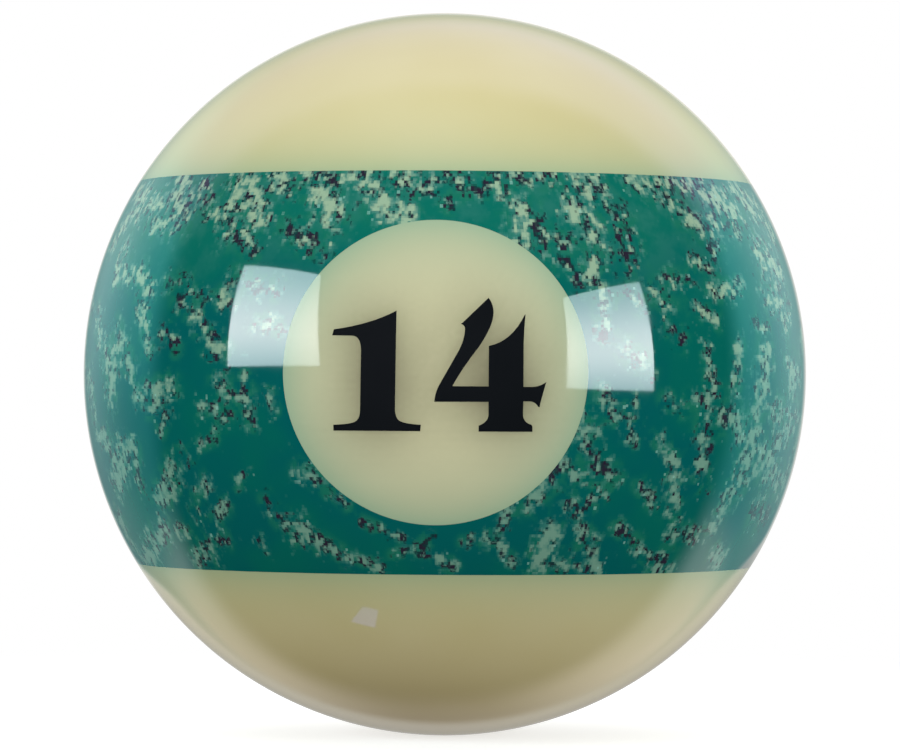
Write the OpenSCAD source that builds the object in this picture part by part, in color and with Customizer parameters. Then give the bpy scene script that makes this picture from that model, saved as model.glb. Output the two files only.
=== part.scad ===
// Numbered, striped pool ball: a cast core inside a coloured outer layer, which is made of two
// ivory caps, a marbled stripe, and two ivory number discs with black inlaid numerals.
// Origin at the ball's centre, +Z up through the caps, front number disc facing -Y.

/* [Ball] */
// Diameter of the finished ball
ball_d = 57.15; // [50.8:0.05:61.5]
// Thickness of the coloured layer between the core and the polished surface
skin_t = 6; // [4:0.5:8]

/* [Stripe] */
// Height of the stripe, measured straight up from its lower edge to its upper edge
stripe_h = 30.1; // [26:0.1:33]

/* [Number discs] */
// Diameter of each number disc, measured straight across its edge
disc_d = 22.6; // [20:0.1:25]
// Height of the numeral one
numeral_h = 8.9; // [7:0.1:10]
// Depth of the numerals below the polished surface
inlay_t = 2.5; // [1:0.1:3.5]

/* [Hidden] */

ball_r = ball_d / 2;
core_r = ball_r - skin_t;
inlay_r = ball_r - inlay_t;
disc_r = disc_d / 2;

// Smoothness of the spheres and cylinders
$fn = 200;
// Straight steps along each curved stretch of a numeral's outline
bend_steps = 8;
// A cutting shape reaches this far past what it cuts
past = 1;

ivory = [0.90, 0.86, 0.70];
teal = [0.07, 0.45, 0.40];
ink = [0.05, 0.05, 0.06];
filler = [0.55, 0.50, 0.42];

// The numerals are drawn flat, in units of which the numeral one is 8.9 high, about the disc's centre
drawn_h = 8.9;
// Turns a front piece to the back of the ball
half_turn = [0, 0, 180];
// Turns a flat drawing to stand upright and face -Y
facing_front = [90, 0, 0];

// Points of one bend from a to b, pulled towards the corner, without a itself
function bend(a, corner, b) = [
    for (i = [1 : bend_steps])
        let (t = i / bend_steps)
        (1 - t) * (1 - t) * a + 2 * t * (1 - t) * corner + t * t * b
];

function at_size(outline) = [for (point = outline) point * numeral_h / drawn_h];

// Flag, hooked serif, straight stem and a bracketed slab foot
function numeral_one() = concat(
    [[-2.84, 4.54]],
    bend([-2.84, 4.54], [-4.73, 3.51], [-7.49, 3.14]),
    [[-7.62, 2.69], [-6.10, 2.67]],
    bend([-6.10, 2.67], [-5.48, 2.63], [-5.45, 1.60]),
    [[-5.50, -2.84]],
    bend([-5.50, -2.84], [-5.52, -3.57], [-6.00, -3.72]),
    bend([-6.00, -3.72], [-6.45, -3.87], [-7.49, -3.90]),
    [[-7.49, -4.34], [-1.04, -4.34], [-1.00, -3.86]],
    bend([-1.00, -3.86], [-2.15, -3.81], [-2.58, -3.58]),
    bend([-2.58, -3.58], [-2.87, -3.37], [-2.91, -2.77])
);

// Swept diagonal, counter left open at the top, spiked stem, hooked bar and a bracketed slab foot
function numeral_four() = concat(
    [[3.92, 5.52]],
    bend([3.92, 5.52], [4.30, 5.05], [4.30, 4.41]),
    bend([4.30, 4.41], [4.30, 3.48], [3.25, 1.90]),
    bend([3.25, 1.90], [2.05, 0.35], [1.31, -1.01]),
    [[3.97, -1.01], [3.97, 1.97]],
    bend([3.97, 1.97], [5.65, 2.30], [6.60, 4.31]),
    [[6.65, 4.31]],
    bend([6.65, 4.31], [6.54, 3.05], [6.53, 1.97]),
    [[6.53, -1.03], [7.18, -1.03]],
    bend([7.18, -1.03], [7.75, -1.01], [8.21, -0.65]),
    [[7.80, -2.15], [7.73, -2.51], [7.62, -2.51]],
    bend([7.62, -2.51], [7.42, -2.13], [7.03, -2.10]),
    [[6.53, -2.10], [6.51, -3.06]],
    bend([6.51, -3.06], [6.52, -3.65], [7.14, -3.82]),
    [[7.21, -3.97], [7.21, -4.34], [3.25, -4.34], [3.25, -3.90]],
    bend([3.25, -3.90], [3.93, -3.65], [3.97, -3.13]),
    [[3.97, -2.15], [-0.02, -2.17]],
    bend([-0.02, -2.17], [0.04, -1.50], [0.33, -0.95]),
    [[1.72, 1.53]],
    bend([1.72, 1.53], [2.19, 2.40], [2.21, 3.21]),
    bend([2.21, 3.21], [2.21, 3.47], [1.90, 3.59]),
    [[2.04, 3.68]]
);

// Spherical layer between an inner radius and the polished surface
module layer(inner_r) {
    difference() {
        sphere(r = ball_r);
        sphere(r = inner_r);
    }
}

// Part of the outer layer that lies above the stripe
module cap() {
    half_space = 2 * (ball_r + past);
    intersection() {
        layer(core_r);
        translate([-half_space / 2, -half_space / 2, stripe_h / 2]) cube(half_space);
    }
}

// Round column along -Y that a number disc is cut from
module disc_column() {
    rotate(facing_front) cylinder(r = disc_r, h = ball_r + past);
}

// Upright prism along -Y over a numeral's outline
module numeral_prism(outline) {
    rotate(facing_front) linear_extrude(height = ball_r + past) polygon(at_size(outline));
}

// Black inlay, flush with the polished surface
module numeral(outline) {
    intersection() {
        layer(inlay_r);
        numeral_prism(outline);
    }
}

// Ivory plug from the core to the surface, with a pocket for each numeral
module number_disc() {
    difference() {
        intersection() {
            layer(core_r);
            disc_column();
        }
        numeral(numeral_one());
        numeral(numeral_four());
    }
}

module core() {
    color(filler) sphere(r = core_r);
}

module upper_cap() {
    color(ivory) cap();
}

module lower_cap() {
    color(ivory) mirror([0, 0, 1]) cap();
}

// Ring round the equator with a window for each number disc
module stripe_band() {
    color(teal) difference() {
        intersection() {
            layer(core_r);
            cylinder(r = ball_r + past, h = stripe_h, center = true);
        }
        disc_column();
        rotate(half_turn) disc_column();
    }
}

module front_number_disc() {
    color(ivory) number_disc();
}

module front_numeral_one() {
    color(ink) numeral(numeral_one());
}

module front_numeral_four() {
    color(ink) numeral(numeral_four());
}

module back_number_disc() {
    color(ivory) rotate(half_turn) number_disc();
}

module back_numeral_one() {
    color(ink) rotate(half_turn) numeral(numeral_one());
}

module back_numeral_four() {
    color(ink) rotate(half_turn) numeral(numeral_four());
}

core();
upper_cap();
lower_cap();
stripe_band();
front_number_disc();
front_numeral_one();
front_numeral_four();
back_number_disc();
back_numeral_one();
back_numeral_four();
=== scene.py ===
"""Looks for the numbered pool ball: polished resin castings, a marbled stripe and a bright studio.

Everything is in metres, in the ball's own frame: the origin is its centre, +Z goes up through the
upper cap, and the front number disc faces -Y. A "turn" is an angle about +Z, counted from -Y
towards +X.
"""
import math
import random

import bmesh
import bpy
import numpy as np
from mathutils import Matrix, Vector
from mathutils.geometry import delaunay_2d_cdt


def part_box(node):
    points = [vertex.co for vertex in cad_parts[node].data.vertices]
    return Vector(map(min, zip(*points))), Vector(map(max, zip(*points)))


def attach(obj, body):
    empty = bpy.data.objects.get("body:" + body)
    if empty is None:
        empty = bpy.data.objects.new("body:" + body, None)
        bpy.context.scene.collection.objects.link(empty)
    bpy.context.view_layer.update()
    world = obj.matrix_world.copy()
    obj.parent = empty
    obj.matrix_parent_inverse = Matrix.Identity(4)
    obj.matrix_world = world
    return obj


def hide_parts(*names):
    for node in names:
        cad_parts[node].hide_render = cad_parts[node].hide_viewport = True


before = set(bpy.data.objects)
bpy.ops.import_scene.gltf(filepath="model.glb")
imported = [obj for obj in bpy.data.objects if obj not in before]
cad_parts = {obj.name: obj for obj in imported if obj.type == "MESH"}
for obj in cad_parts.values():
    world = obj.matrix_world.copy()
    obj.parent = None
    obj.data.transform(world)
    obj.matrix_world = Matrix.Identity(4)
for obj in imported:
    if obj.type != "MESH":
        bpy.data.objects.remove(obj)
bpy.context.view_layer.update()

MM = 0.001

# ------------------------------------------------------------------ sizes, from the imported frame
BALL_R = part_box("upper_cap")[1].z
CORE_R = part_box("core")[1].z
STRIPE_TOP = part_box("stripe_band")[1].z
DISC_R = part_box("front_number_disc")[1].x
NUMERALS = ("numeral_one", "numeral_four")

# ------------------------------------------------------------------ fineness of the finished meshes
QUARTERS = 4
QUARTER_COLUMNS = 90  # columns of faces across a quarter of the stripe
STRIPE_ROWS = 60
WINDOW_RINGS = 16  # rings of faces between a window's edge and its quarter's border
CAP_ROWS = 58
DISC_PITCH = 0.35 * MM  # spacing of the points inside a number disc
OUTLINE_GAP = 0.15 * MM  # inner points stay this far from an outline
CDT_EPSILON = 1e-5  # in millimetres
SAME_PLACE = 7  # decimals of a metre that tell two corners apart
POLISH_SLACK = 0.005 * MM  # a CAD corner this close to the ball's radius is on its surface
INK_REACHES = np.linspace(0.3, 3.5, 7) * MM  # how far round itself a numeral's painted shade reaches on the ivory
INK_DIRECTIONS = 24

# ------------------------------------------------------------------ colours, linear
IVORY = (0.70, 0.595, 0.33, 1)
IVORY_DEEP = (0.67, 0.56, 0.285, 1)
DISC_IVORY = (0.60, 0.545, 0.345, 1)
DISC_IVORY_DEEP = (0.565, 0.515, 0.32, 1)
# Painted shade next to the stripe, on the caps and at the number discs' rims
PAINTED_STRIPE_SHADE = (0.11, 0.34, 0.24, 1)
# Painted shade round the numerals on the number discs
PAINTED_INK_SHADE = (0.03, 0.02, 0.01, 1)
TEAL = (0.0, 0.102, 0.099, 1)
TEAL_GREEN = (0.001, 0.135, 0.088, 1)
# Painted light from above: the stripe's ground and flecks paler on its upper part
TEAL_LIT_ABOVE = (0.004, 0.150, 0.106, 1)
TEAL_MILKY = (0.050, 0.210, 0.170, 1)
FLECK_SAGE = (0.13, 0.28, 0.215, 1)
FLECK_PALE = (0.17, 0.32, 0.24, 1)
FLECK_LIT_ABOVE = (0.33, 0.45, 0.30, 1)
FLECK_GREEN = (0.012, 0.165, 0.095, 1)
FLECK_DARK = (0.005, 0.028, 0.033, 1)
FLECK_PLUM = (0.024, 0.014, 0.030, 1)
FLECK_LIGHT = (0.26, 0.52, 0.44, 1)
INK = (0.0055, 0.0058, 0.0072, 1)
INK_WORN = (0.009, 0.009, 0.011, 1)
FILLER = (0.30, 0.24, 0.15, 1)
FILLER_PALE = (0.38, 0.32, 0.22, 1)
PLAIN_IOR = 1.5
DISC_IOR = 1.42
STRIPE_IOR = 1.6

# Where the marbling gathers, over half the ball and again half a turn round. Each streak runs
# between two places (turn in degrees, height in millimetres) and has a reach in millimetres and a
# darkness from 0, all ivory, to 1, all dark.
STREAKS = (
    (-74, 14.2, -66, 13.8, 1.0, 0.2), (-54, 14.4, -49, 11.8, 1.6, 0.3),
    (-58, 11.3, -53, 11.2, 1.0, 0.2), (-46, 14.0, -43, 12.6, 1.0, 0.6),
    (-37, 14.6, -32, 11.6, 1.5, 0.2), (-38, 12.2, -36, 10.2, 1.0, 0.5),
    (-33, 10.1, -30, 8.7, 0.8, 0.9), (-30, 14.3, -26, 13.9, 1.0, 0.4),
    (-24, 10.6, -18, 8.8, 1.0, 0.8), (-24, 14.8, -15, 14.6, 1.0, 0.4),
    (-20, 13.2, -17, 11.8, 1.3, 0.2), (-13, 14.8, -9, 12.8, 1.3, 0.3),
    (-7, 14.3, -1, 13.9, 1.0, 0.5), (-8, 12.0, -5, 11.8, 1.1, 0.0),
    (2, 14.5, 7, 13.6, 0.9, 0.9), (10, 14.6, 20, 14.7, 0.8, 0.6),
    (14, 12.4, 13, 9.6, 1.0, 0.1), (16, 11.8, 17, 9.2, 0.9, 0.9),
    (23, 12.4, 26, 10.6, 1.3, 0.2), (25, 14.9, 29, 13.6, 1.2, 0.3),
    (31, 12.0, 32, 8.4, 1.2, 0.7), (20, 9.2, 22, 6.6, 1.1, 0.9),
    (26, 8.8, 24, 7.0, 1.1, 0.4), (35, 14.6, 42, 14.6, 0.9, 0.3),
    (41, 13.6, 48, 11.4, 1.2, 0.5), (52, 11.4, 50, 9.3, 1.1, 0.5),
    (54, 13.6, 61, 12.8, 1.5, 0.1), (45, 8.7, 49, 7.8, 0.8, 0.5),
    (66, 9.2, 72, 8.0, 2.0, 0.3), (48, 6.2, 55, 6.6, 1.0, 0.4),
    (35, 6.2, 38, 5.0, 0.9, 0.5), (43, 5.4, 48, 4.0, 0.9, 0.3),
    (37, 3.4, 40, 2.6, 1.1, 0.8), (53, 2.4, 52, -1.0, 1.0, 0.2),
    (45, 1.9, 47, -1.0, 0.9, 0.5), (61, 1.8, 58, -3.4, 1.7, 0.2),
    (37, -1.8, 40, -2.6, 0.9, 0.8), (44, -1.8, 50, -3.4, 1.4, 0.5),
    (45, -4.0, 46, -7.0, 1.4, 0.4), (26, -1.4, 28, -3.2, 1.1, 0.4),
    (31, -2.0, 31, -5.0, 0.8, 0.5), (22, -4.6, 26, -7.2, 1.1, 0.6),
    (29, -7.8, 25, -9.8, 0.9, 0.6), (36, -4.8, 40, -7.0, 0.9, 0.4),
    (40, -7.6, 42, -10.2, 1.1, 0.3), (34, -8.4, 38, -10.0, 0.8, 0.4),
    (47, -8.8, 49, -9.0, 0.6, 0.9), (58, -4.6, 57, -8.0, 1.9, 0.2),
    (55, -8.6, 53, -11.6, 1.3, 0.3), (57, -13.6, 60, -14.2, 1.2, 0.1),
    (63, -6.4, 68, -7.4, 2.0, 0.1), (43, -12.0, 49, -12.0, 1.3, 0.5),
    (31, -11.4, 38, -13.4, 0.8, 0.6), (19, -11.8, 18, -14.4, 1.5, 0.0),
    (22, -14.4, 28, -14.4, 0.8, 0.5), (24, -11.2, 27, -14.0, 1.1, 0.4),
    (18, -8.4, 15, -9.8, 0.9, 0.4), (12, -9.6, 10, -12.4, 1.1, 0.5),
    (1, -14.0, 3, -14.4, 0.8, 0.2), (-2, -13.5, -1, -12.2, 0.8, 0.9),
    (-21, -7.3, -18, -8.0, 1.0, 0.1), (-23, -11.3, -20, -12.6, 1.1, 0.4),
    (-19, -12.8, -15, -14.0, 1.0, 0.6), (-28, -9.6, -27, -10.6, 0.8, 0.8),
    (-39, -10.9, -36, -9.9, 0.9, 0.3), (-42, -9.2, -39, -8.3, 0.9, 0.3),
    (-33, -8.3, -31, -7.6, 0.7, 0.4), (-44, -13.0, -38, -12.7, 0.8, 0.6),
    (-48, -14.3, -43, -13.8, 1.1, 0.2), (-52, -9.8, -46, -7.6, 1.5, 0.3),
    (-65, -14.2, -54, -12.0, 1.4, 0.2), (-57, -8.6, -56, -5.6, 1.1, 0.4),
    (-67, -8.6, -60, -6.2, 1.9, 0.1), (-72, -5.4, -67, -4.8, 1.2, 0.2),
    (-53, -2.0, -45, -1.2, 1.3, 0.3), (-48, -4.5, -46, -3.0, 0.8, 0.7),
    (-38, -2.7, -33, -3.5, 1.0, 0.5), (-35, -0.6, -32, -2.0, 0.9, 0.3),
    (-30, -0.3, -29, -4.3, 0.7, 0.5), (-40, 4.2, -34, 1.3, 1.3, 0.3),
    (-37, 1.1, -35, 0.9, 0.6, 0.9), (-44, 5.2, -38, 5.5, 1.0, 0.6),
    (-35, 5.6, -33, 7.2, 0.8, 0.4), (-47, 3.0, -44, 1.8, 1.0, 0.8),
    (-57, 7.6, -52, 6.0, 1.1, 0.2), (-62, 7.6, -59, 7.2, 1.1, 0.2),
    (-54, 4.8, -50, 1.8, 1.2, 0.3), (-61, 3.2, -55, 0.0, 1.3, 0.2),
    (-79, -11.0, -74, -12.0, 1.6, 0.3), (-82, 2.0, -76, -1.0, 1.8, 0.4),
    (-88, 9.0, -82, 11.0, 1.4, 0.4), (80, -4.0, 77, -9.0, 1.8, 0.3),
    (84, 5.0, 79, 2.0, 1.6, 0.4), (45, 14.7, 51, 14.2, 1.0, 0.5),
    (46, 11.8, 53, 10.8, 1.1, 0.5), (54, 11.6, 60, 11.0, 0.9, 0.6),
    (38, 7.4, 44, 6.8, 0.7, 0.7), (52, -2.8, 54, -4.6, 1.3, 0.3),
    (20, -6.8, 23, -7.8, 1.0, 0.5), (25, -6.0, 29, -7.6, 1.0, 0.5),
    (22, -9.6, 24, -11.2, 0.9, 0.5), (27, -12.6, 29, -14.6, 1.0, 0.3),
    (36, -13.2, 43, -14.0, 0.7, 0.4), (41, -14.6, 46, -14.6, 0.8, 0.2),
    (64, 6.0, 68, 5.6, 1.4, 0.2), (58, 4.0, 62, 3.6, 0.9, 0.7),
    (64, -2.6, 72, -3.4, 1.6, 0.3), (66, -10.4, 74, -11.2, 1.6, 0.6),
    (66, 14.0, 74, 12.6, 1.6, 0.2), (70, 1.0, 76, 0.0, 1.6, 0.4),
    (27, 5.6, 26, 3.0, 1.2, 0.6), (31, 6.2, 33, 5.0, 0.9, 0.6),
    (30, 1.8, 33, 0.4, 1.2, 0.5), (22, -3.0, 24, -4.4, 0.9, 0.5),
    (20, -6.0, 17, -8.0, 1.0, 0.5), (11, -13.2, 14, -14.2, 0.7, 0.5),
    (5, -12.6, 9, -12.0, 0.7, 0.5), (-9, -11.6, -5, -12.4, 0.6, 0.6),
    (-7, -13.6, -3, -12.8, 0.6, 0.5), (-14, -13.8, -9, -14.6, 0.6, 0.4),
    (-17, -8.8, -14, -9.8, 0.7, 0.6), (-12, -11.0, -10, -11.4, 0.6, 0.7),
    (-26, -1.6, -25, -2.8, 0.7, 0.7), (10, 14.0, 12, 12.8, 0.9, 0.5),
    (17, 10.4, 22, 9.6, 0.8, 0.7), (1, 12.8, 2, 12.4, 0.6, 0.9),
    (-39, 12.2, -35, 12.6, 1.0, 0.2), (-34, 12.8, -30, 11.4, 1.2, 0.2),
    (-36, 10.4, -32, 10.0, 0.9, 0.7), (-48, 6.6, -43, 6.8, 0.8, 0.7),
    (-35, 5.4, -33, 5.0, 0.9, 0.3), (-51, -2.8, -48, -2.8, 0.9, 0.2),
    (-39, -5.4, -36, -4.8, 0.7, 0.4), (-26, -11.0, -23, -12.4, 1.0, 0.5),
    (-50, -12.2, -47, -12.0, 0.9, 0.4), (-71, -14.4, -65, -14.2, 1.3, 0.2),
    (-66, 12.6, -58, 12.8, 1.1, 0.3), (-74, 0.2, -72, -3.6, 1.4, 0.3),
    (-44, -5.6, -42, -6.8, 0.6, 0.8), (-31, -12.6, -30, -13.4, 0.6, 0.4),
    (-44, -10.6, -43, -11.2, 0.6, 0.6), (-30, 6.4, -25, 6.0, 1.0, 0.7),
    (-28, 3.6, -24, 3.2, 1.0, 0.4), (-72, 5.0, -68, 2.4, 1.4, 0.3),
)

# Scattered streaks fill the sides of the ball, between these turns and again half a turn round
SIDE_TURNS = (62, 118)
SIDE_STREAKS = 22
SIDE_SEED = 14

# Widths of the square cells of the marbling's two prints, in millimetres
CELL_WIDTHS = (0.19, 0.26)
# Heights in millimetres between which the stripe turns paler towards its upper edge, painted light
# from above
LIT_ABOVE_FROM_TO = (3.0, 13.0)
# How each colour of the flecks sets in: the amount at which it starts and at which it is full,
# then its cover at either end
MILKY_STEP = (0.70, 0.85, 0.0, 0.75)
SAGE_STEP = (0.82, 0.87, 0.0, 0.85)
PALEST_STEP = (0.87, 0.94, 0.0, 0.90)
DARK_STEP = (0.82, 0.86, 0.0, 0.92)
PLUM_STEP = (0.88, 0.93, 0.0, 0.92)
OUTLINE_AT, OUTLINE_HALF_WIDTH = 0.82, 0.045
LIGHT_SPECK_FROM = 0.997

# ================================================================== shapes
def by_turn(turn, z, radius):
    """Place on a sphere at a turn about +Z and a height."""
    rho = math.sqrt(radius * radius - z * z)
    return Vector((rho * math.sin(turn), -rho * math.cos(turn), z))


def by_face(x, z, radius):
    """Place on a sphere's front, straight behind a point of the flat drawing."""
    return Vector((x, -math.sqrt(radius * radius - x * x - z * z), z))


def turn_of(x, z, radius):
    """Turn about +Z at which a sphere's front is straight behind a point of the flat drawing."""
    return math.asin(x / math.sqrt(radius * radius - z * z))


def border(faces):
    """Edges that only one face has, each in that face's direction."""
    edges = [
        (face[i], face[(i + 1) % len(face)]) for face in faces for i in range(len(face))
    ]
    used = set(edges)
    return [(a, b) for a, b in edges if (b, a) not in used]


def wall(edges, upper, lower):
    """Faces from each edge at one level down to the same edge at another."""
    return [(b + upper, a + upper, a + lower, b + lower) for a, b in edges]


def level(faces, shift):
    return [tuple(i + shift for i in face) for face in faces]


def make_piece(name, places, polished, hidden, node, slot, material):
    """A closed mesh whose polished faces shade exactly as the sphere that they lie on."""
    mesh = bpy.data.meshes.new(name)
    mesh.from_pydata(places, [], polished + hidden)
    build = bmesh.new()
    build.from_mesh(mesh)
    loose = [vertex for vertex in build.verts if not vertex.link_faces]
    bmesh.ops.delete(build, geom=loose, context="VERTS")
    bmesh.ops.recalc_face_normals(build, faces=build.faces)
    build.to_mesh(mesh)
    build.free()
    mesh.shade_smooth()
    normals = []
    for polygon in mesh.polygons:
        on_ball = polygon.index < len(polished)
        for corner in polygon.vertices:
            co = mesh.vertices[corner].co
            normals.append(co.normalized() if on_ball else polygon.normal.copy())
    mesh.normals_split_custom_set(normals)
    mesh.materials.append(material)
    piece = bpy.data.objects.new(name, mesh)
    bpy.context.scene.collection.objects.link(piece)
    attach(piece, "root")
    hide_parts(node)
    return piece


def two_levels(outer, inner, faces):
    """Places, polished faces and hidden faces of a piece that is one layer thick."""
    count = len(outer)
    hidden = [tuple(reversed(face)) for face in level(faces, count)]
    return outer + inner, faces, hidden + wall(border(faces), 0, count)


def half_round(places):
    """The same places half a turn round the ball."""
    return [Vector((-p.x, -p.y, p.z)) for p in places]


# ------------------------------------------------------------------ stripe
def quarter_frame(middle):
    """Turns of the columns of a quarter, and heights of its rows."""
    half = math.pi / QUARTERS
    turns = np.linspace(middle - half, middle + half, QUARTER_COLUMNS + 1)
    heights = np.linspace(-STRIPE_TOP, STRIPE_TOP, STRIPE_ROWS + 1)
    return turns, heights


def plain_quarter(middle):
    turns, heights = quarter_frame(middle)
    spots = [(t, z) for z in heights for t in turns]
    width = len(turns)
    faces = [
        (r * width + c, r * width + c + 1, (r + 1) * width + c + 1, (r + 1) * width + c)
        for r in range(STRIPE_ROWS)
        for c in range(QUARTER_COLUMNS)
    ]
    outer = [by_turn(t, z, BALL_R) for t, z in spots]
    inner = [by_turn(t, z, CORE_R) for t, z in spots]
    return two_levels(outer, inner, faces)


def quarter_border():
    """Turns and heights once round the front quarter's border, starting at its lower left."""
    turns, heights = quarter_frame(0)
    return (
        [(t, heights[0]) for t in turns[:-1]]
        + [(turns[-1], z) for z in heights[:-1]]
        + [(t, heights[-1]) for t in turns[:0:-1]]
        + [(turns[0], z) for z in heights[:0:-1]]
    )


def window_edge():
    """Flat points (x, z) round a number disc, one for each point of the quarter's border."""
    points = []
    for turn, z in quarter_border():
        angle = math.atan2(z, turn * BALL_R)
        points.append((DISC_R * math.cos(angle), DISC_R * math.sin(angle)))
    return points


def window_quarter():
    """The front quarter, in rings from the window's edge out to the border."""
    rim = quarter_border()
    edge = window_edge()
    places = {}
    for radius in (BALL_R, CORE_R):
        places[radius] = []
        for ring in range(WINDOW_RINGS + 1):
            share = ring / WINDOW_RINGS
            for (turn, z), (edge_x, edge_z) in zip(rim, edge):
                edge_turn = turn_of(edge_x, edge_z, radius)
                spot = edge_turn + share * (turn - edge_turn), edge_z + share * (z - edge_z)
                places[radius].append(by_turn(*spot, radius))
    count = len(rim)
    faces = []
    for ring in range(WINDOW_RINGS):
        for i in range(count):
            near = ring * count + i
            after = ring * count + (i + 1) % count
            faces.append((near, near + count, after + count, after))
    return two_levels(places[BALL_R], places[CORE_R], faces)


def side_streaks():
    """Streaks scattered over the sides of the ball, in the same form as STREAKS."""
    chance = random.Random(SIDE_SEED)
    streaks = []
    for _ in range(SIDE_STREAKS):
        turn = chance.uniform(*SIDE_TURNS)
        z = chance.uniform(-14, 14)
        end = turn + chance.uniform(-5, 5), z + chance.uniform(-3, 3)
        streaks.append((turn, z, *end, chance.uniform(0.9, 1.8), chance.uniform(0.0, 0.6)))
    return streaks


def marbling(places):
    """How much the marbling gathers at each place of the stripe, and how dark it is there.

    The streaks spread wider near the upper edge.
    """
    half_girth = math.pi * BALL_R
    across = np.array([math.atan2(p.x, -p.y) * BALL_R for p in places])
    up = np.array([p.z for p in places])
    spread = np.interp(up, (4 * MM, 12 * MM), (1.0, 1.5))
    gathered = np.zeros(len(places))
    darkness = np.zeros(len(places))
    for turn, z, end_turn, end_z, reach, dark in [*STREAKS, *side_streaks()]:
        start = math.radians(turn) * BALL_R
        run = np.array((math.radians(end_turn) * BALL_R - start, (end_z - z) * MM))
        off = (across - start + half_girth / 2) % half_girth - half_girth / 2
        away = np.stack([off, up - z * MM], axis=1)
        share = np.clip(away @ run / (run @ run), 0, 1)
        distance = np.linalg.norm(away - share[:, None] * run, axis=1) / (reach * MM)
        density = np.exp(-(distance / spread) ** 2)
        darkness = np.where(density > gathered, dark, darkness)
        gathered = np.maximum(gathered, density)
    return gathered, darkness


def store(piece, name, values):
    """Keeps one number for each vertex of a piece, for its material to read."""
    attribute = piece.data.attributes.new(name, "FLOAT", "POINT")
    attribute.data.foreach_set("value", np.array(values, np.float32))


def make_stripe(material):
    front = window_quarter()
    quarters = {
        "stripe_band_front": front,
        "stripe_band_right": plain_quarter(math.pi / 2),
        "stripe_band_back": (half_round(front[0]), front[1], front[2]),
        "stripe_band_left": plain_quarter(-math.pi / 2),
    }
    for name, parts in quarters.items():
        piece = make_piece(name, *parts, "stripe_band", "stripe_resin", material)
        gathered, darkness = marbling([v.co for v in piece.data.vertices])
        store(piece, "gathered", gathered)
        store(piece, "darkness", darkness)


# ------------------------------------------------------------------ caps
def cap(side):
    """A cap in rows from the stripe's edge to the pole; side is 1 above and -1 below."""
    columns = QUARTERS * QUARTER_COLUMNS
    places = {}
    for radius in (BALL_R, CORE_R):
        widest = math.acos(STRIPE_TOP / radius)
        rows = []
        for row in range(CAP_ROWS):
            tilt = widest * (1 - row / CAP_ROWS)
            for column in range(columns):
                turn = 2 * math.pi * column / columns
                z = side * radius * math.cos(tilt)
                rows.append(by_turn(turn, z, radius))
        places[radius] = rows + [Vector((0, 0, side * radius))]
    faces = []
    pole = CAP_ROWS * columns
    for column in range(columns):
        after = (column + 1) % columns
        for row in range(CAP_ROWS - 1):
            low = row * columns
            faces.append((low + column, low + after, low + columns + after, low + columns + column))
        low = (CAP_ROWS - 1) * columns
        faces.append((low + column, low + after, pole))
    return two_levels(places[BALL_R], places[CORE_R], faces)


# ------------------------------------------------------------------ number discs and numerals
def numeral_outline(node):
    """Flat points (x, z) in order round a numeral's polished face, read from its CAD mesh."""
    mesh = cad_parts[node].data
    on_ball = BALL_R - POLISH_SLACK
    edges = set()
    for polygon in mesh.polygons:
        corners = [mesh.vertices[i].co for i in polygon.vertices]
        facing = abs(polygon.normal.dot(corners[0].normalized()))
        if facing > 0.5 and all(c.length > on_ball for c in corners):
            keys = [flat_key(c.x, c.z) for c in corners]
            edges.update((keys[i], keys[(i + 1) % len(keys)]) for i in range(len(keys)))
    follows = {a: b for a, b in edges if (b, a) not in edges}
    outline = [min(follows)]
    while follows[outline[-1]] != outline[0]:
        outline.append(follows[outline[-1]])
    return outline


def inside(points, outline):
    """Which of the points lie inside an outline."""
    ring = np.array(outline)
    after = np.roll(ring, -1, axis=0)
    x, z = points[:, :1], points[:, 1:]
    crosses = (ring[:, 1] > z) != (after[:, 1] > z)
    rise = np.where(after[:, 1] == ring[:, 1], 1, after[:, 1] - ring[:, 1])
    at = ring[:, 0] + (z - ring[:, 1]) * (after[:, 0] - ring[:, 0]) / rise
    return (crosses & (x < at)).sum(axis=1) % 2 == 1


def distance_to(points, outline):
    """Distance of each point from the nearest edge of an outline."""
    start = np.array(outline)
    along = np.roll(start, -1, axis=0) - start
    away = points[:, None] - start
    share = (away * along).sum(-1) / (along * along).sum(-1)
    nearest = start + np.clip(share, 0, 1)[..., None] * along
    return np.linalg.norm(points[:, None] - nearest, axis=-1).min(axis=1)


def flat_key(x, z):
    """What a flat point is looked up by."""
    return round(x, SAME_PLACE), round(z, SAME_PLACE)


def ink_around(points, outlines):
    """How much of the surroundings of each point of a number disc the numerals take up."""
    directions = np.linspace(0, 2 * math.pi, INK_DIRECTIONS, endpoint=False)
    taken = np.zeros(len(points))
    for reach in INK_REACHES:
        for turn in directions:
            there = points + reach * np.array((math.cos(turn), math.sin(turn)))
            taken += np.any([inside(there, outline) for outline in outlines], axis=0)
    return taken / (len(INK_REACHES) * len(directions))


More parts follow.
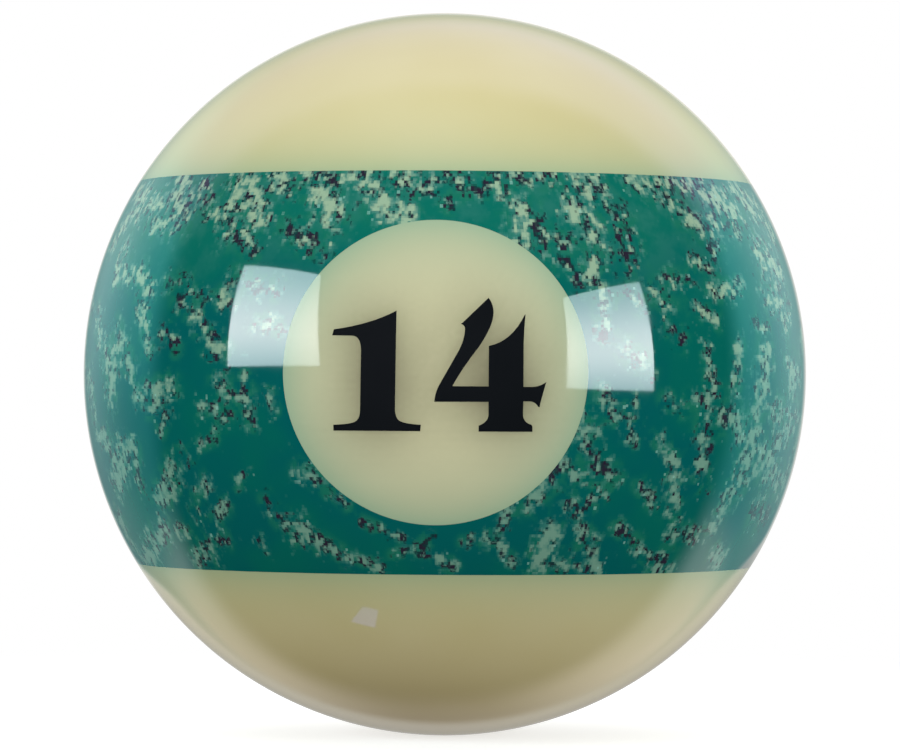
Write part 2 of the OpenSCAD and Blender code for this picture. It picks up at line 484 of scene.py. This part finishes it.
def disc_net():
    """Flat points of a number disc, its bare triangles and each numeral's, and the ink around."""
    outlines = [window_edge()] + [numeral_outline("front_" + n) for n in NUMERALS]
    steps = np.arange(-DISC_R, DISC_R, DISC_PITCH)
    x, z = np.meshgrid(steps, steps * math.sqrt(3) / 2)
    x[1::2] += DISC_PITCH / 2
    grid = np.stack([x.ravel(), z.ravel()], axis=1)
    grid = grid[inside(grid, outlines[0])]
    for outline in outlines:
        grid = grid[distance_to(grid, outline) > OUTLINE_GAP]
    points, edges = [], []
    for outline in outlines:
        first = len(points)
        count = len(outline)
        points += outline
        edges += [(first + i, first + (i + 1) % count) for i in range(count)]
    points += [tuple(p) for p in grid]
    net = delaunay_2d_cdt([Vector(p) / MM for p in points], edges, [], 0, CDT_EPSILON)
    flat = np.array([tuple(p) for p in net[0]]) * MM
    faces = [tuple(face) for face in net[2]]
    middles = np.array([flat[list(face)].mean(axis=0) for face in faces])
    in_disc = inside(middles, outlines[0])
    covered = [inside(middles, outline) & in_disc for outline in outlines[1:]]
    bare = in_disc & ~np.any(covered, axis=0)
    areas = [[f for f, here in zip(faces, keep) if here] for keep in [bare, *covered]]
    ink = {flat_key(*p): share for p, share in zip(flat, ink_around(flat, outlines[1:]))}
    return flat, areas, ink


def make_disc_and_numerals(side, face, disc_resin, numeral_resin):
    """One face of the ball; side is front or back."""
    flat, (bare, *numerals), ink = face
    inlay_r = min(v.co.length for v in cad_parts["front_numeral_one"].data.vertices)
    turned = half_round if side == "back" else list
    surface, pocket, core = (
        turned([by_face(x, z, radius) for x, z in flat]) for radius in (BALL_R, inlay_r, CORE_R)
    )
    count = len(flat)
    covered = [f for numeral in numerals for f in numeral]
    rim = set(border(bare + covered))
    pocket_edges = [edge for edge in border(bare) if edge not in rim]
    hidden = (
        level(covered, count)
        + [tuple(reversed(f)) for f in level(bare + covered, 2 * count)]
        + wall(rim, 0, 2 * count)
        + wall(pocket_edges, 0, count)
    )
    node = f"{side}_number_disc"
    places = surface + pocket + core
    disc = make_piece(node, places, bare, hidden, node, "ivory_resin", disc_resin)
    across = 1 if side == "front" else -1
    store(disc, "ink_around", [ink[flat_key(across * v.co.x, v.co.z)] for v in disc.data.vertices])
    for name, faces in zip(NUMERALS, numerals):
        node = f"{side}_{name}"
        parts = two_levels(surface, pocket, faces)
        make_piece(node, *parts, node, "numeral_resin", numeral_resin)


# ================================================================== materials
class Wiring:
    """Adds and joins the nodes of one shader tree."""

    def __init__(self, tree):
        self.tree = tree
        tree.nodes.clear()

    def feed(self, socket, value):
        if isinstance(value, bpy.types.NodeSocket):
            self.tree.links.new(value, socket)
        elif value is not None:
            socket.default_value = value

    def add(self, kind, *inputs, **settings):
        """A node, with its first inputs joined to sockets or set to values."""
        node = self.tree.nodes.new("ShaderNode" + kind)
        for name, value in settings.items():
            setattr(node, name, value)
        for socket, value in zip(node.inputs, inputs):
            self.feed(socket, value)
        return node

    def math(self, operation, *inputs):
        return self.add("Math", *inputs, operation=operation).outputs[0]

    def ramp(self, value, low, high, start=0.0, end=1.0):
        """A smooth step from start, where value is low, to end, where it is high."""
        kind = "SMOOTHSTEP"
        node = self.add("MapRange", value, low, high, start, end, interpolation_type=kind)
        return node.outputs[0]

    def mix(self, share, first, second):
        node = self.add("Mix", share, data_type="RGBA")
        self.feed(node.inputs[6], first)
        self.feed(node.inputs[7], second)
        return node.outputs[2]

    def noise(self, place, scale, detail=2.0, roughness=0.5, seed=0.0):
        """Fractal noise, with scale in repeats per millimetre."""
        node = self.add("TexNoise", noise_dimensions="4D")
        for name, value in (
            ("Vector", place),
            ("W", seed),
            ("Scale", scale),
            ("Detail", detail),
            ("Roughness", roughness),
        ):
            self.feed(node.inputs[name], value)
        return node.outputs[0]

    def place_mm(self):
        """The surface point in the ball's frame, in millimetres."""
        place = self.add("TexCoord").outputs["Object"]
        scaled = self.add("VectorMath", place, operation="SCALE")
        scaled.inputs["Scale"].default_value = 1 / MM
        return scaled.outputs[0]

    def split(self, vector):
        return self.add("SeparateXYZ", vector).outputs

    def join(self, x, y, z):
        return self.add("CombineXYZ", x, y, z).outputs[0]

    def attribute(self, name):
        return self.add("Attribute", attribute_name=name).outputs["Fac"]


def resin(name, paint, ior, gloss=(0.03, 0.075), wobble=0.02):
    """Polished cast resin. paint(wiring, place) gives the colour; gloss is the roughness range."""
    material = bpy.data.materials.new(name)
    material.use_nodes = True
    wiring = Wiring(material.node_tree)
    place = wiring.place_mm()
    smears = wiring.noise(place, 0.18, 3.0, 0.6, seed=3.1)
    ripple = wiring.noise(place, 0.35, 2.0, 0.5, seed=8.7)
    shader = wiring.add("BsdfPrincipled")
    wiring.feed(shader.inputs["Base Color"], paint(wiring, place))
    wiring.feed(shader.inputs["Roughness"], wiring.ramp(smears, 0.35, 0.7, *gloss))
    shader.inputs["IOR"].default_value = ior
    bump = wiring.add("Bump")
    bump.inputs["Strength"].default_value = wobble
    bump.inputs["Distance"].default_value = 0.05 * MM
    wiring.feed(bump.inputs["Height"], ripple)
    wiring.feed(shader.inputs["Normal"], bump.outputs[0])
    out = wiring.add("OutputMaterial")
    wiring.tree.links.new(shader.outputs[0], out.inputs["Surface"])
    return material


def clouded(wiring, place, pale, deep, seed):
    """Two close colours, drifting into each other as they do in a casting."""
    drift = wiring.noise(place, 0.05, 3.0, 0.55, seed)
    return wiring.mix(wiring.ramp(drift, 0.35, 0.7), pale, deep)


def painted_border_shade(wiring, distance, colour, shade_colour, strength, reach):
    """The colour with a painted shade that fades with the distance from a border, in millimetres."""
    fading = wiring.math("POWER", math.exp(-1 / reach), distance)
    return wiring.mix(wiring.math("MULTIPLY", fading, strength), colour, shade_colour)


def cap_paint(wiring, place):
    """Ivory, with a painted green shade for a millimetre or two next to the stripe, for the
    stripe's colour that light carries through the resin.
    """
    colour = clouded(wiring, place, IVORY, IVORY_DEEP, 1.7)
    height = wiring.math("ABSOLUTE", wiring.split(place)[2])
    away = wiring.math("SUBTRACT", height, STRIPE_TOP / MM)
    # Painted shade: greener and darker next to the stripe
    return painted_border_shade(wiring, away, colour, PAINTED_STRIPE_SHADE, 0.5, 2.2)


def disc_paint(wiring, place):
    """Ivory, with painted shade: greener and darker at its rim next to the stripe, and darker next
    to the numerals, which take light from the resin round them.
    """
    colour = clouded(wiring, place, DISC_IVORY, DISC_IVORY_DEEP, 5.3)
    x, _, z = wiring.split(place)
    flat = wiring.add("VectorMath", wiring.join(x, 0.0, z), operation="LENGTH").outputs["Value"]
    from_rim = wiring.math("SUBTRACT", DISC_R / MM, flat)
    # Painted shade: greener and darker at the rim, next to the stripe
    colour = painted_border_shade(wiring, from_rim, colour, PAINTED_STRIPE_SHADE, 0.55, 2.1)
    # Painted shade next to the numerals, stronger where more ink is near
    shade = wiring.math("MULTIPLY", wiring.attribute("ink_around"), 1.12)
    return wiring.mix(shade, colour, PAINTED_INK_SHADE)


def ink_paint(wiring, place):
    return clouded(wiring, place, INK, INK_WORN, 2.2)


def filler_paint(wiring, place):
    grains = wiring.noise(place, 1.2, 4.0, 0.7, seed=6.6)
    return wiring.mix(wiring.ramp(grains, 0.4, 0.6), FILLER, FILLER_PALE)


def print_cells(wiring, place, width):
    """The middle of the small square cell of the marbling that a surface point lies in."""
    x, y, z = wiring.split(place)
    radius = BALL_R / MM
    turn = wiring.math("ARCTAN2", x, wiring.math("MULTIPLY", y, -1.0))
    step = width / radius
    turn = wiring.math("ADD", wiring.math("SNAP", turn, step), step / 2)
    z = wiring.math("ADD", wiring.math("SNAP", z, width), width / 2)
    x = wiring.math("MULTIPLY", wiring.math("SINE", turn), radius)
    y = wiring.math("MULTIPLY", wiring.math("COSINE", turn), -radius)
    return wiring.join(x, y, z)


def marbled(wiring, ground, cell, gathered, darkness):
    """One print of the marbling: pale flecks with milky edges and dark outlines on the ground."""
    blots = wiring.noise(cell, 1.3, 2.0, 0.65, seed=9.2)
    spots = wiring.noise(cell, 1.9, 1.0, 0.5, seed=1.3)
    tints = wiring.noise(cell, 0.8, 2.0, 0.6, seed=6.1)
    grain = wiring.add("TexWhiteNoise", cell, noise_dimensions="3D").outputs["Value"]
    ragged = wiring.math("MULTIPLY_ADD", grain, 0.06, blots)
    paleness = wiring.math("MULTIPLY_ADD", darkness, -0.14, 0.39)
    pale = wiring.math("MULTIPLY_ADD", gathered, paleness, ragged)
    height = wiring.split(cell)[2]
    near = wiring.ramp(gathered, 0.05, 0.7)
    # Painted light from above: flecks a little paler towards the stripe's upper edge
    pale = wiring.math("MULTIPLY_ADD", near, wiring.ramp(height, *LIT_ABOVE_FROM_TO, 0.0, 0.01), pale)
    outline = wiring.math("COMPARE", pale, OUTLINE_AT, OUTLINE_HALF_WIDTH)
    dimness = wiring.math("MULTIPLY_ADD", darkness, 0.16, 0.15)
    dim = wiring.math("MULTIPLY_ADD", gathered, dimness, spots)
    dim = wiring.math("MULTIPLY_ADD", outline, 0.15, dim)

    greener = wiring.math("MULTIPLY", near, wiring.ramp(tints, 0.46, 0.60, 0.0, 0.7))
    colour = wiring.mix(greener, ground, FLECK_GREEN)
    colour = wiring.mix(wiring.ramp(pale, *MILKY_STEP), colour, TEAL_MILKY)
    colour = wiring.mix(wiring.ramp(pale, *SAGE_STEP), colour, FLECK_SAGE)
    # Painted light from above: the palest flecks paler higher up
    palest = wiring.mix(wiring.ramp(height, -6.0, 10.0), FLECK_PALE, FLECK_LIT_ABOVE)
    colour = wiring.mix(wiring.ramp(pale, *PALEST_STEP), colour, palest)
    colour = wiring.mix(wiring.ramp(dim, *DARK_STEP), colour, FLECK_DARK)
    colour = wiring.mix(wiring.ramp(dim, *PLUM_STEP), colour, FLECK_PLUM)
    light = wiring.math("MULTIPLY", wiring.math("GREATER_THAN", grain, LIGHT_SPECK_FROM), near)
    return wiring.mix(light, colour, FLECK_LIGHT)


def stripe_paint(wiring, place):
    """Teal, clouded with green and with painted light from above on its upper part, under two
    prints of the marbling in cells of different sizes.
    """
    veils = wiring.noise(place, 0.13, 2.0, 0.5, seed=7.9)
    ground = wiring.mix(wiring.ramp(veils, 0.42, 0.62, 0.0, 0.5), TEAL, TEAL_GREEN)
    height = wiring.split(place)[2]
    # Painted light from above: the ground and its mist paler towards the upper edge
    ground = wiring.mix(wiring.ramp(height, *LIT_ABOVE_FROM_TO, 0.0, 0.75), ground, TEAL_LIT_ABOVE)
    mist = wiring.ramp(wiring.noise(place, 0.45, 3.0, 0.6, seed=4.4), 0.40, 0.66, 0.0, 0.3)
    mist = wiring.math("MULTIPLY", mist, wiring.ramp(height, *LIT_ABOVE_FROM_TO))
    ground = wiring.mix(mist, ground, TEAL_MILKY)
    gathered = wiring.attribute("gathered")
    darkness = wiring.attribute("darkness")
    prints = [
        marbled(wiring, ground, print_cells(wiring, place, width), gathered, darkness)
        for width in CELL_WIDTHS
    ]
    return wiring.mix(0.5, *prints)


# ================================================================== studio
CARD_DISTANCE = 0.9
EDGE_WHITE = (0.82, 1.03, 1.09, 1)
MIDDLE_WHITE = (0.92, 0.98, 1.0, 1)
GLINT_BLUE = (0.25, 0.30, 1.0, 1)
GLINT_STRENGTH = 2.3
PLAIN_WHITE = (1, 1, 1, 1)
# Tints of what the polish mirrors: the panels are strongly teal at the sides and bluish overhead
SIDE_TINT = (0.20, 0.97, 1.0, 1)
BEHIND_LOW = (0.60, 1.0, 1.02, 1)
BEHIND_HIGH = (0.76, 1.0, 1.04, 1)
OVERHEAD_TINT = (0.64, 0.66, 1.0, 1)
TABLE_NEAR_TINT = (1.05, 0.97, 0.90, 1)
TABLE_FAR_TINT = (0.88, 1.03, 1.03, 1)
PAPER_WHITE = (1.0, 0.99, 0.94, 1)
ROOM_DARK = (0.012, 0.030, 0.036, 1)
DOME_WARM = (1.0, 0.86, 0.60, 1)
DOME_WHITE = (1.0, 1.0, 0.98, 1)
# The opening between the panels, where it is mirrored on the front of the ball, in ball radii:
# its middle, half its size, and how its lower half leans and narrows
OPENING_X, OPENING_Z = 0.01, -0.057
OPENING_HALF_WIDTH, OPENING_HALF_HEIGHT = 0.805, 0.847
OPENING_LEAN, OPENING_TAPER = 0.045, 0.075
OPENING_SQUARENESS = 2.3
OPENING_EDGE = (0.87, 1.06)
# Heights on the front of the ball between which the mirrored paper changes, in ball radii
PAPER_LOW_TO_HIGH = (-0.62, -0.45)
# The floor: pale and shaded under the ball, and plain white past these distances in millimetres
FLOOR_GREY = (0.55, 0.55, 0.55, 1)
FLOOR_GLOW = 0.70
FLOOR_FADES = (40.0, 130.0)
FLOOR_HALF = 3.0  # in metres


def emitter(name, light):
    """A lamp front; light(wiring) gives its colour and strength."""
    material = bpy.data.materials.new(name)
    material.use_nodes = True
    wiring = Wiring(material.node_tree)
    glow = wiring.add("Emission", *light(wiring))
    out = wiring.add("OutputMaterial")
    wiring.tree.links.new(glow.outputs[0], out.inputs["Surface"])
    return material


def graded(edge, middle, low, peak, high):
    """Light of strength middle at the height peak, fading to edge at the heights low and high."""

    def light(wiring):
        height = wiring.split(wiring.place_mm())[2]
        rising = wiring.ramp(height, low, peak)
        falling = wiring.ramp(height, peak, high, 1.0, 0.0)
        share = wiring.math("MINIMUM", rising, falling)
        colour = wiring.mix(share, EDGE_WHITE, MIDDLE_WHITE)
        return colour, wiring.math("MULTIPLY_ADD", share, middle - edge, edge)

    return light


def bearing(turn, elevation):
    """Unit direction from the ball at a turn and an elevation in degrees."""
    turn, elevation = math.radians(turn), math.radians(elevation)
    return Vector(
        (
            math.sin(turn) * math.cos(elevation),
            -math.cos(turn) * math.cos(elevation),
            math.sin(elevation),
        )
    )


def softbox(name, corners, material):
    """A flat lamp whose four corners lie in given directions from the ball."""
    mesh = bpy.data.meshes.new(name)
    mesh.from_pydata([bearing(*c) * CARD_DISTANCE for c in corners], [], [(0, 1, 2, 3)])
    mesh.materials.append(material)
    card = bpy.data.objects.new(name, mesh)
    bpy.context.scene.collection.objects.link(card)
    card.visible_camera = False


def outside_opening(wiring, mirrored_x, mirrored_z):
    """0 where the ball, seen from the front, mirrors the opening, and 1 where it mirrors a panel."""
    below = wiring.math("MINIMUM", mirrored_z, 0.0)
    lean_x = wiring.math("MULTIPLY_ADD", below, OPENING_LEAN, OPENING_X)
    lean_width = wiring.math("MULTIPLY_ADD", below, OPENING_TAPER, OPENING_HALF_WIDTH)
    oval = []
    for place, middle, half in (
        (mirrored_x, lean_x, lean_width),
        (mirrored_z, OPENING_Z, OPENING_HALF_HEIGHT),
    ):
        away = wiring.math("ABSOLUTE", wiring.math("SUBTRACT", place, middle))
        oval.append(wiring.math("POWER", wiring.math("DIVIDE", away, half), OPENING_SQUARENESS))
    return wiring.ramp(wiring.math("ADD", *oval), *OPENING_EDGE)


def panel_light(wiring, towards, mirrored_z):
    """Tint and glow of the panels in each direction from the ball."""
    x, y, z = wiring.split(towards)
    sideways = wiring.math("ABSOLUTE", x)
    overhead = wiring.ramp(z, 0.35, 0.6)
    underneath = wiring.ramp(z, -0.5, -0.33, 1.0, 0.0)

    behind = wiring.mix(wiring.ramp(z, -0.1, 0.5), BEHIND_LOW, BEHIND_HIGH)
    tint = wiring.mix(wiring.ramp(y, 0.25, 0.95), SIDE_TINT, behind)
    tint = wiring.mix(overhead, tint, OVERHEAD_TINT)
    table = wiring.mix(wiring.ramp(sideways, 0.3, 0.8), TABLE_NEAR_TINT, TABLE_FAR_TINT)
    tint = wiring.mix(underneath, tint, table)

    glow = wiring.ramp(sideways, 0.15, 0.75, 0.45, 1.30)
    glow = wiring.math("MULTIPLY", glow, wiring.ramp(z, -0.30, 0.25, 0.58, 1.05))
    left_share = wiring.ramp(z, -0.1, 0.1, 0.75, 0.90)
    glow = wiring.math("MULTIPLY", glow, wiring.ramp(x, -0.3, 0.3, left_share, 1.05))
    glow = wiring.mix(overhead, glow, wiring.ramp(x, -0.4, 0.4, 0.75, 1.35))
    table_glow = wiring.ramp(sideways, 0.05, 0.40, 0.56, 1.15)
    table_glow = wiring.math("MULTIPLY", table_glow, wiring.ramp(x, -0.4, 0.4, 0.80, 1.03))
    glow = wiring.mix(underneath, glow, table_glow)

    # Straight behind the ball hangs plain paper, which only the ball's rim mirrors
    starts = wiring.ramp(mirrored_z, *PAPER_LOW_TO_HIGH, 0.78, 0.945)
    ends = wiring.ramp(mirrored_z, *PAPER_LOW_TO_HIGH, 0.87, 0.99)
    rim_glow = wiring.ramp(mirrored_z, *PAPER_LOW_TO_HIGH, 0.52, 0.85)
    on_paper = wiring.ramp(y, starts, ends)
    tint = wiring.mix(on_paper, tint, PAPER_WHITE)
    glow = wiring.mix(on_paper, glow, wiring.ramp(y, 0.86, 0.98, 0.86, rim_glow))
    return tint, glow


def dome_light(wiring, towards):
    """Tint and glow of the soft dome, brightest above and a little behind the ball."""
    z = wiring.split(towards)[2]
    tint = wiring.mix(wiring.ramp(z, -1.0, 0.5), DOME_WARM, DOME_WHITE)
    lobe = wiring.add("VectorMath", towards, (0, 0.5, 0.87), operation="DOT_PRODUCT")
    return tint, wiring.ramp(lobe.outputs["Value"], 0.3, 1.0, 0.25, 1.30)


def make_surround():
    """Tinted panels beside, above and behind the ball, open towards its front.

    Only the polish mirrors the panels. A soft dome lights everything else, and the camera sees plain
    white.
    """
    world = bpy.data.worlds.new("studio")
    bpy.context.scene.world = world
    world.use_nodes = True
    wiring = Wiring(world.node_tree)
    towards = wiring.add("TexCoord").outputs["Generated"]
    halfway = wiring.add("VectorMath", towards, (0, -1, 0), operation="ADD").outputs[0]
    halfway = wiring.add("VectorMath", halfway, operation="NORMALIZE").outputs[0]
    mirrored_x, _, mirrored_z = wiring.split(halfway)
    on_panels = outside_opening(wiring, mirrored_x, mirrored_z)
    panels = wiring.add("Background", *panel_light(wiring, towards, mirrored_z))
    room = wiring.add("Background", ROOM_DARK, 1.0)
    mirrored = wiring.add("MixShader", on_panels, room.outputs[0], panels.outputs[0])
    dome = wiring.add("Background", *dome_light(wiring, towards))
    backdrop = wiring.add("Background", PLAIN_WHITE, 1.0)
    light_path = wiring.add("LightPath").outputs
    lit = wiring.add("MixShader", light_path["Is Glossy Ray"], dome.outputs[0], mirrored.outputs[0])
    seen = wiring.add("MixShader", light_path["Is Camera Ray"], lit.outputs[0], backdrop.outputs[0])
    out = wiring.add("OutputWorld")
    wiring.tree.links.new(seen.outputs[0], out.inputs["Surface"])


def make_floor():
    """A pale table top that only the camera sees, with the ball's soft shadow on it."""
    material = bpy.data.materials.new("table_white")
    material.use_nodes = True
    wiring = Wiring(material.node_tree)
    place = wiring.place_mm()
    length = wiring.add("VectorMath", place, operation="LENGTH").outputs["Value"]
    lit = wiring.add("BsdfDiffuse", FLOOR_GREY)
    glow = wiring.add("Emission", PLAIN_WHITE, FLOOR_GLOW)
    near = wiring.add("AddShader", lit.outputs[0], glow.outputs[0])
    far = wiring.add("Emission", PLAIN_WHITE, 1.0)
    share = wiring.ramp(length, *FLOOR_FADES)
    mixed = wiring.add("MixShader", share, near.outputs[0], far.outputs[0])
    out = wiring.add("OutputMaterial")
    wiring.tree.links.new(mixed.outputs[0], out.inputs["Surface"])
    half = FLOOR_HALF
    corners = [(-half, -half), (half, -half), (half, half), (-half, half)]
    mesh = bpy.data.meshes.new("table")
    mesh.from_pydata([(x, y, -BALL_R) for x, y in corners], [], [(0, 1, 2, 3)])
    mesh.materials.append(material)
    table = bpy.data.objects.new("table", mesh)
    bpy.context.scene.collection.objects.link(table)
    table.visible_diffuse = False
    table.visible_glossy = False
    table.visible_shadow = False


def make_camera():
    """A long lens, level with the ball's middle and a little to its right."""
    distance = 390 * MM
    turn, elevation = 1.45, -0.28
    lean = math.radians(0.35)
    aim = Vector((0.41, 0.0, -0.05)) * MM
    data = bpy.data.cameras.new("camera")
    data.sensor_width = 36
    data.lens = 196.65
    camera = bpy.data.objects.new("camera", data)
    bpy.context.scene.collection.objects.link(camera)
    back = bearing(turn, elevation)
    facing = (-back).to_track_quat("-Z", "Y").to_matrix().to_4x4()
    camera.matrix_world = (
        Matrix.Translation(aim + back * distance) @ facing @ Matrix.Rotation(lean, 4, "Z")
    )
    data.clip_start, data.clip_end = 0.05, 20
    bpy.context.scene.camera = camera


# ================================================================== the scene
make_camera()
make_surround()
make_floor()
left_corners = (-71, 27), (-41, 28), (-37, 2), (-69, 1.5)
right_corners = (40, 22), (69, 24), (69, -4), (39, -4)
glint_corners = (-89, -69.5), (-66, -69.5), (-60, -72.5), (-86, -75)
left_glow = graded(edge=6.8, middle=11.6, low=-20, peak=170, high=440)
right_glow = graded(edge=5.8, middle=11.8, low=-130, peak=100, high=370)
left_light = emitter("softbox_left_light", left_glow)
right_light = emitter("softbox_right_light", right_glow)
glint_light = emitter("glint_light", lambda wiring: (GLINT_BLUE, GLINT_STRENGTH))
softbox("softbox_left", left_corners, left_light)
softbox("softbox_right", right_corners, right_light)
softbox("glint_card", glint_corners, glint_light)

ivory = resin("ivory_resin", cap_paint, PLAIN_IOR)
disc_ivory = resin("ivory_disc_resin", disc_paint, DISC_IOR)
ink = resin("numeral_resin", ink_paint, PLAIN_IOR)
marble = resin("stripe_resin", stripe_paint, STRIPE_IOR)
filler = resin("core_resin", filler_paint, PLAIN_IOR, gloss=(0.5, 0.7))

make_piece("upper_cap", *cap(1), "upper_cap", "ivory_resin", ivory)
make_piece("lower_cap", *cap(-1), "lower_cap", "ivory_resin", ivory)
make_stripe(marble)
face = disc_net()
for side in ("front", "back"):
    make_disc_and_numerals(side, face, disc_ivory, ink)
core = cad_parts["core"]
core.data.materials.clear()
core.data.materials.append(filler)

bpy.context.scene.view_settings.view_transform = "Standard"
